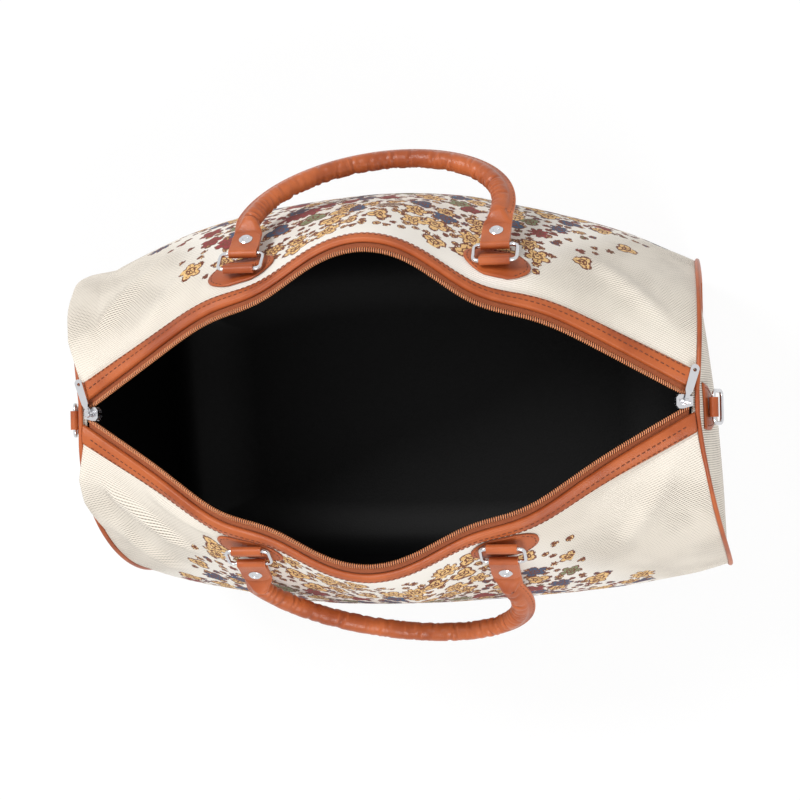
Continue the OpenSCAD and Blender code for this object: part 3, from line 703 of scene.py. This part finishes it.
def sew(body, path, out, pitch=4.2, length=1.35, width=0.42, sink=0.05):
    """A row of stitches along a path."""
    index = resample(path, pitch)
    along = unit(at_index(np.gradient(path, axis=0), index))
    normal = unit(at_index(out, index))
    stitches[body].add(*beads(at_index(path, index) + normal * sink, along, normal, (length, width, width * 0.8)))


# Zip with its leather trim
def build_zip():
    us = np.linspace(-1, 1, 401)
    ones = np.ones_like(us)
    for name, side in SIDES:
        v0 = below_rim(side, us, mix(TRIM_W, TRIM_MID, rim_blend(us)))
        out, up, top = wall_out(side, us, 1.0), wall_up(side, us, 1.0), wall(side, us, 1.0)
        rows = []
        for k in np.linspace(0, 1, 11):
            puff = TRIM_PUFF * math.sin(math.pi * min(1, k * 1.02)) ** 0.7
            puff = puff + 0.25 * ripple(8, us * 22, k * 4 + 0 * us) * math.sin(math.pi * k)
            thick = TRIM_T * (0.75 + 0.25 * min(1, 6 * k))
            rows.append(off_wall(side, us, mix(v0, 1.0, k), SEWN_GAP + thick + puff))
        for a in np.linspace(15, 90, 5):
            c, s = math.cos(math.radians(a)), math.sin(math.radians(a))
            rows.append(top + out * (-0.6 + (SEWN_GAP + TRIM_T + 0.6) * c) + up * (SEAM_GAP + TRIM_T * s))
        rows.append(top - PANEL_T * out + (SEAM_GAP + 0.85 * TRIM_T) * up)
        rows.append(top - PANEL_T * out + SEAM_GAP * up)
        rows.append(top + SEWN_GAP * out + SEAM_GAP * up)
        for k in (0.66, 0.33, 0.0):
            rows.append(off_wall(side, us, mix(v0, 1.0, k), SEWN_GAP * ones))
        rings = np.stack(rows, 1)
        if side < 0:
            rings = rings[:, ::-1]
        trim = sweep(name + "_trim", rings, LEATHER, replaces=(name + "_zip_trim",))
        inside = slice(6, -6)
        for k in (0.12, 0.62):
            row = mix(v0, 1.0, k)
            path = off_wall(side, us, row, (SEWN_GAP + TRIM_T + TRIM_PUFF * math.sin(math.pi * k) ** 0.7) * ones)
            sew("bag", path[inside], wall_out(side, us, row)[inside])
        # tape, from the seam under the trim to the coil
        ts = np.linspace(-ZIP_END, ZIP_END, 401)
        root = tape_root(side, ts) - (SEAM_GAP + 0.2) * wall_out(side, ts, 1.0)
        tip = coil_at(side, ts) + np.array([0, 0, -0.2])
        upper = [root - 1.6 * wall_up(side, ts, 1.0)] + [mix(root, tip, k) for k in (0, 0.3, 0.6, 0.85, 1)]
        drop = np.array([0, 0, -TAPE_T])
        lower = [p + drop - (TAPE_T * 0.4 * wall_out(side, ts, 1.0) if i < 2 else 0) for i, p in enumerate(upper)]
        rings = np.stack(upper + lower[::-1], 1)
        if side < 0:
            rings = rings[:, ::-1]
        tape = sweep(name + "_tape", rings, TAPE, replaces=(name + "_zip_tape",))
        # coil: one rounded loop per tooth, on a cord; the cord is near black, as painted shade in the gaps between
        # the teeth
        dense = np.linspace(-ZIP_END, ZIP_END, 3001)
        inwards = tape_dir(side, dense)
        line = coil_at(side, dense) + (COIL_R + 0.1) * inwards
        index = resample(line, TEETH_PITCH)
        along = unit(at_index(np.gradient(line, axis=0), index))
        across = unit(at_index(inwards, index))
        out_dir = unit(np.cross(across, along) * side)
        coil = Bunch()
        coil.add(*beads(at_index(line, index), across, out_dir, (COIL_R * 1.05, 0.47, COIL_R * 0.95), 8))
        sparse = np.linspace(0, 3000, 260).astype(int)
        cord = tube_rings(line[sparse], inwards[sparse], CORE_R, 8)
        coil.build(name + "_coil", COIL, replaces=(name + "_zip_coil",))
        sweep(name + "_core", cord, CORE_SHADE)


# Tabs and handles, from the cloth's length per unit of v at the tabs and the joints' places
TAB_RUN = float(np.linalg.norm(wall(1, tab_at(1), TAB_V + STEP) - wall(1, tab_at(1), TAB_V - STEP))) / (2 * STEP)
JOINTS = {j["name"]: np.array(j["pos_m"]) * 1000 for j in frame["joints"]}


def hang_tilt(name, side):
    """Lean of a hanging ring out of the vertical, from its two bars."""
    drop = JOINTS[name + "_handle_swing"] - JOINTS[name + "_rings_swing"]
    return math.atan2(side * drop[1], -drop[2])


def grip_axis(name):
    """Middle of the handle's hinge line."""
    loops = [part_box(f"{name}_{where}_loop") for where in ("left", "right")]
    x = sum((low.x + high.x) / 2 for low, high in loops) / 2
    return np.array([1000 * x, *JOINTS[name + "_handle_swing"][1:]])


def facing(side, tilt, origin):
    """Turns a flat drawing of the handle to the way it hangs."""
    turn = Matrix.Rotation(math.pi if side > 0 else 0, 3, "Z") @ Matrix.Rotation(math.pi / 2 - tilt, 3, "X")
    r = np.array(turn)
    return lambda p: np.asarray(p, float) @ r.T + origin


def crown_of(rim, groove):
    """Leather thickness from the distance to its cut edge: rounded off, with a groove for the stitches."""
    return LEATHER_T * (0.6 + 0.4 * np.clip(rim / 1.2, 0, 1)) - groove * np.exp(-((rim - 2.6) / 0.9) ** 2)


def build_tabs():
    stitch_off = SEWN_GAP + LEATHER_T * 0.85
    for name, side in SIDES:
        for where, end in ENDS:
            ks, xs = np.linspace(0, 1, 33), np.linspace(-1, 1, 25)
            half = PATCH_W / 2 * (0.5 + 0.5 * (1 - np.abs(2 * ks - 1) ** 2.3))
            half = half * (1 - 0.3 * np.exp(-np.minimum(ks, 1 - ks) * PATCH_H / 1.5))
            v = TAB_V + (PATCH_TOP - PATCH_H * ks) / TAB_RUN
            u = tab_at(end) + xs[None, :] * half[:, None] / half_length(v)[:, None]
            v = v[:, None] + 0 * u
            rim = np.minimum(np.minimum(ks, 1 - ks)[:, None] * PATCH_H, (1 - np.abs(xs))[None, :] * half[:, None])
            upper = off_wall(side, u, v, SEWN_GAP + crown_of(rim, 0.35))
            lower = off_wall(side, u, v, SEWN_GAP * np.ones_like(u))
            patch = slab(f"{name}_{where}_tab", lower, upper, LEATHER, flip=side > 0,
                         replaces=(f"{name}_{where}_patch",))
            # stitches down one side, along the foot and up the other side
            line = np.concatenate([[(k, -0.9) for k in np.linspace(0.08, 0.92, 30)],
                                   [(0.93, x) for x in np.linspace(-0.85, 0.85, 16)],
                                   [(k, 0.9) for k in np.linspace(0.92, 0.08, 30)]])
            reach = np.interp(line[:, 0], ks, half) - 2.4
            v = TAB_V + (PATCH_TOP - PATCH_H * line[:, 0]) / TAB_RUN
            u = tab_at(end) + line[:, 1] / 0.9 * reach / half_length(v)
            sew("bag", off_wall(side, u, v, stitch_off * np.ones_like(u)), wall_out(side, u, v), 3.4, 1.1)


def profile(roll, width, sides=56):
    """Section of the handle strip, outwards and across: from flat strap to rolled grip with its ridge."""
    a = (np.arange(sides) + 0.5) * 2 * math.pi / sides
    half, thin, r = STRAP_W / 2 * width, LEATHER_T / 2, GRIP_D / 2
    flat = np.stack([half * np.sign(np.cos(a)) * np.abs(np.cos(a)) ** 0.35,
                     thin * np.sign(np.sin(a)) * np.minimum(1, 3 * np.abs(np.sin(a)))], -1)
    w = np.where(a > math.pi, a - 2 * math.pi, a)
    fin = np.clip((0.46 - np.abs(w)) / 0.22, 0, 1)
    fin = fin * fin * (3 - 2 * fin)
    across = r * np.sin(a)
    across = np.where(fin > 0.3, np.sign(w) * np.minimum(np.abs(across), RIDGE_T / 2), across)
    rolled = np.stack([r * np.cos(a) + fin * RIDGE * 0.98, across], -1)
    return mix(flat, rolled, roll)


def grip_folds(rng, count):
    """Folds across the grip: station, angle, spread round the grip, width, slant and depth of each."""
    return [(rng.uniform(30, count - 30), rng.uniform(1.2, 5.1), rng.uniform(0.8, 1.9),
             rng.uniform(0.75, 1.3), rng.uniform(-1.6, 1.6), rng.uniform(0.3, 0.8)) for _ in range(190)]


def wrinkle_at(k, angle, roll, folds):
    depth = 0 * angle
    for station, at, spread, wide, slant, deep in folds:
        if abs(k - station) < 9:
            turn = (angle - at + math.pi) % (2 * math.pi) - math.pi
            across = (k - station - slant * turn) / wide
            round_it = np.exp(-(turn / spread) ** 2)
            depth = depth - roll * deep * round_it * (1 - 0.5 * across * across) * np.exp(-0.6 * across * across)
    # none on the ridge
    return np.clip(depth, -1.5, 0.4) * np.clip((np.abs(angle) - 0.55) / 0.3, 0, 1)


def end_stations(end):
    """Strip from its cut end, round the ring and down to the grip: centre, inward, across, roll and width."""
    bend, layer = LOOP_IN + LEATHER_T / 2, LEATHER_T / 2 + 0.1
    rows = []
    inward = np.array([-end, 0.0, 0])
    x = end * TAB_X
    cut = ((23, 0.28), (22.4, 0.5), (21.4, 0.7), (20, 0.85), (18.5, 0.96), (17, 1), (13, 1), (9, 1))
    for run, width in cut:
        rows.append(([x, -run, layer], inward, [0, 0, 1.0], 0, width))
    for a in np.radians(np.linspace(90, 270, 17)):
        c, s = math.cos(a), math.sin(a)
        rows.append(([x, -bend * c, bend * s], inward, [0, -c, s], 0, 1))
    for run in (9, 14, 18, 22):
        rows.append(([x, -run, -layer], inward, [0, 0, -1.0], 0, 1))
    for k in np.linspace(0.12, 0.94, 10):
        rows.append(([x, -mix(22, LEG, k), -layer * (1 - k)], inward, [0, 0, -1.0], k * k * (3 - 2 * k), 1))
    return rows


def arch_stations(sway):
    rows = []
    for a in np.linspace(0, math.pi, 220):
        c, s = math.cos(a), math.sin(a)
        t = np.array([TAB_X * s + sway * c, ARCH_H * c])
        t = t / np.linalg.norm(t)
        rows.append(([-TAB_X * c + sway * s, -LEG - ARCH_H * s, 0], [t[1], t[0], 0], [0, 0, -1.0], 1, 1))
    return rows


def build_handles():
    for name, side in SIDES:
        body = name + "_handle_body"
        place = facing(side, hang_tilt(name, side), grip_axis(name))
        arch = arch_stations(-BACK_SWAY if side > 0 else FRONT_SWAY)
        stations = end_stations(-1) + arch + end_stations(1)[::-1]
        rings, ridge, ridge_out = [], [], []
        folds = grip_folds(np.random.default_rng(60 + side), len(stations))
        for k, (c, inward, thick, roll, width) in enumerate(stations):
            c, inward, thick = (np.array(q, float) for q in (c, inward, thick))
            p = profile(roll, width)
            wrinkle = wrinkle_at(k, np.arctan2(p[:, 1], p[:, 0]), roll, folds)
            p = p * (1 + wrinkle / np.maximum(4, np.hypot(p[:, 0], p[:, 1])))[:, None]
            rings.append(c - p[:, :1] * inward + p[:, 1:] * thick)
            if roll > 0.9:
                ridge.append(c - (GRIP_D / 2 + RIDGE * 0.55) * inward)
                ridge_out.append(-thick)
        handle = sweep(name + "_grip", place(np.array(rings)), GRIP, body=body, replaces=(name + "_handle",))
        normal = place(np.array(ridge_out)) - place(np.zeros(3))
        for sign in (1, -1):
            sew(body, place(np.array(ridge)) + sign * normal * (RIDGE_T / 2), sign * normal, 4.0, 1.3, 0.6, 0.1)


def build_end_tabs():
    inset = PANEL_T + SEAM_GAP
    vs = np.linspace(0, 1, 400)
    heights = wall(1, np.ones(400), vs)[:, 2]
    top = END_HEIGHT - STRAP_DROP + END_TAB_TOP
    for name, end in ENDS:
        ks, xs = np.linspace(0, 0.97, 31), np.linspace(-1, 1, 25)
        v = np.interp(top - END_TAB_H * ks, heights, vs)
        half = END_TAB_HALF * np.sqrt(1 - ks ** 2.6)
        at = np.full(31, float(end))
        seam = np.abs(wall(1, at, v)[:, 1] - wall(-1, at, v)[:, 1]) / 2 - inset
        q = xs[None, :] * (half / seam)[:, None]
        rim = np.minimum(np.minimum(ks, 1 - ks)[:, None] * END_TAB_H, (1 - np.abs(xs))[None, :] * half[:, None])
        face = end_wall(end, q, v[:, None] + 0 * q, inset, 0.0)
        x_dir = np.array([end, 0.0, 0])
        lower = face + TAB_LIFT * x_dir
        upper = face + (TAB_LIFT + crown_of(rim, 0.3))[..., None] * x_dir
        tab = slab(name + "_half_round", upper, lower, LEATHER, flip=end > 0, replaces=(name + "_end_tab",))
        # stitches in a half round inside the edge
        a = np.linspace(0.06, math.pi - 0.06, 60)
        sewn_v = np.interp(top - END_TAB_H * (0.9 * np.sin(a) + 0.03), heights, vs)
        sewn_q = -np.cos(a) * 13.4 / np.interp(sewn_v, v[::-1], seam[::-1])
        path = end_wall(end, sewn_q, sewn_v, inset, 0.0) + (TAB_LIFT + LEATHER_T * 0.85) * x_dir
        sew("bag", path, np.tile(x_dir, (60, 1)), 3.4, 1.1)


# The bag
build_walls()
build_ends()
build_lining()
build_zip()
build_tabs()
build_handles()
build_end_tabs()
for body, bunch in stitches.items():
    bunch.build(body + "_stitches", THREAD, body)

# CAD nodes that stay in view get their materials
for key, obj in frame["nodes"].items():
    if obj.hide_render:
        continue
    if any(word in key for word in ("ring", "rivet", "slider", "pull")):
        paint = NICKEL
    elif "loop" in key:
        paint = LEATHER
    elif key == "base_panel":
        paint = PLAIN
        layers = obj.data.uv_layers
        layer = layers["UVMap"] if "UVMap" in layers else layers.new(name="UVMap")
        for loop, item in zip(obj.data.loops, layer.data):
            p = obj.data.vertices[loop.vertex_index].co
            item.uv = (p.x * 10, p.y * 10)
    else:
        paint = BOARD
    obj.data.materials.clear()
    obj.data.materials.append(paint)

# Stage, light and camera
floor_data = bpy.data.meshes.new("floor")
floor_data.from_pydata([(-6, -6, 0), (6, -6, 0), (6, 6, 0), (-6, 6, 0)], [], [(0, 1, 2, 3)])
floor = bpy.data.objects.new("floor", floor_data)
bpy.context.scene.collection.objects.link(floor)
paint, tree, shader = new_material("floor_white")
broad = noise(tree, coordinates(tree), 0.4, 1)
tree.links.new(mix_colour(tree, broad, (0.93, 0.93, 0.93), (0.95, 0.95, 0.95)), shader.inputs["Base Color"])
shader.inputs["Roughness"].default_value = 0.9
shader.inputs["Specular IOR Level"].default_value = 0.1
glow = node(tree, "ShaderNodeEmission", Strength=1.0)
glow.inputs["Color"].default_value = (1, 1, 1, 1)
# nine tenths plain white where it shows as background, so that the shadow stays faint
seen = math_node(tree, "MULTIPLY", seen_rays(tree), 0.9)
blend = tree.nodes.new("ShaderNodeMixShader")
tree.links.new(seen, blend.inputs[0])
tree.links.new(shader.outputs[0], blend.inputs[1])
tree.links.new(glow.outputs[0], blend.inputs[2])
tree.links.new(blend.outputs[0], tree.nodes["Material Output"].inputs["Surface"])
floor_data.materials.append(paint)

scene = bpy.context.scene
world = bpy.data.worlds.new("studio")
scene.world = world
world.use_nodes = True
tree = world.node_tree
tree.nodes["Background"].inputs["Color"].default_value = (1, 1, 1, 1)
# the world lights at half strength and shows as white
seen = math_node(tree, "ADD", 0.5, math_node(tree, "MULTIPLY", seen_rays(tree), 0.5))
tree.links.new(seen, tree.nodes["Background"].inputs["Strength"])


def area_light(name, place, target, size, power):
    data = bpy.data.lights.new(name, "AREA")
    data.shape, data.size, data.energy = "DISK", size, power
    obj = bpy.data.objects.new(name, data)
    obj.location = place
    obj.rotation_euler = (Vector(target) - Vector(place)).to_track_quat("-Z", "Y").to_euler()
    scene.collection.objects.link(obj)


area_light("key", (-1.1, 1.0, 2.2), (0, 0, 0.15), 0.9, 40)
area_light("fill", (0.8, -1.5, 2.0), (0, 0, 0.15), 1.2, 32)

camera_data = bpy.data.cameras.new("camera")
camera = bpy.data.objects.new("camera", camera_data)
scene.collection.objects.link(camera)
scene.camera = camera
eye, aim = Vector((0.2471, -0.0075, 1.6592)), Vector((0, 0, 0.2))
look = (aim - eye).normalized()
right = look.cross(Vector((0, 1, 0))).normalized()
above = right.cross(look)
roll = math.radians(-1.196)
c, s = math.cos(roll), math.sin(roll)
right, above = c * right + s * above, -s * right + c * above
camera.matrix_world = Matrix.Translation(eye) @ Matrix((right, above, -look)).transposed().to_4x4()
camera_data.sensor_width = 36
camera_data.lens = 88.9
camera_data.shift_x, camera_data.shift_y = 0.00275, 0.0099
scene.view_settings.view_transform = "Standard"
